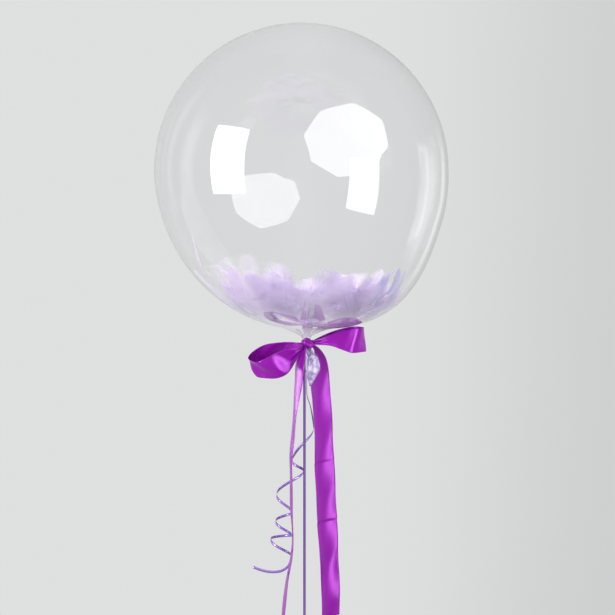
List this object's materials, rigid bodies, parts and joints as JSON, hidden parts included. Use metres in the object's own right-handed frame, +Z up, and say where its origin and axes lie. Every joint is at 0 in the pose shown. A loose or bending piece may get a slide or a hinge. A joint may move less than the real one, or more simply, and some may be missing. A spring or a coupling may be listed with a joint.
{
  "type": "clear bubble balloon",
  "caption": "Clear round bubble balloon with loose feathers inside, a satin bow with hanging tails at its neck, and a taut ribbon tether that ends in a loop.",
  "frame": {"origin": "lowest point of the knotted loop at the end of the tether, where the balloon is held", "axes": "+Z up along the taut tether and through the bubble, -Y the side that the bow faces, +X towards the shorter, raised loop of the bow"},
  "size_m": [0.5596, 0.5586, 1.1539],
  "materials": {
    "clear_film": "thin clear stretched film, high gloss, almost colourless",
    "satin": "double-faced purple satin ribbon, strong sheen along its length",
    "curling_ribbon": "narrow bluish purple curling ribbon, soft gloss, fine lengthwise grain",
    "feather": "soft lilac down and small plumes, matt"
  },
  "bodies": {
    "root": {"bubble": "clear_film", "satin_ribbon": "satin", "tether_ribbon": "curling_ribbon", "curled_ribbon": "curling_ribbon"}
  },
  "joints": []
}
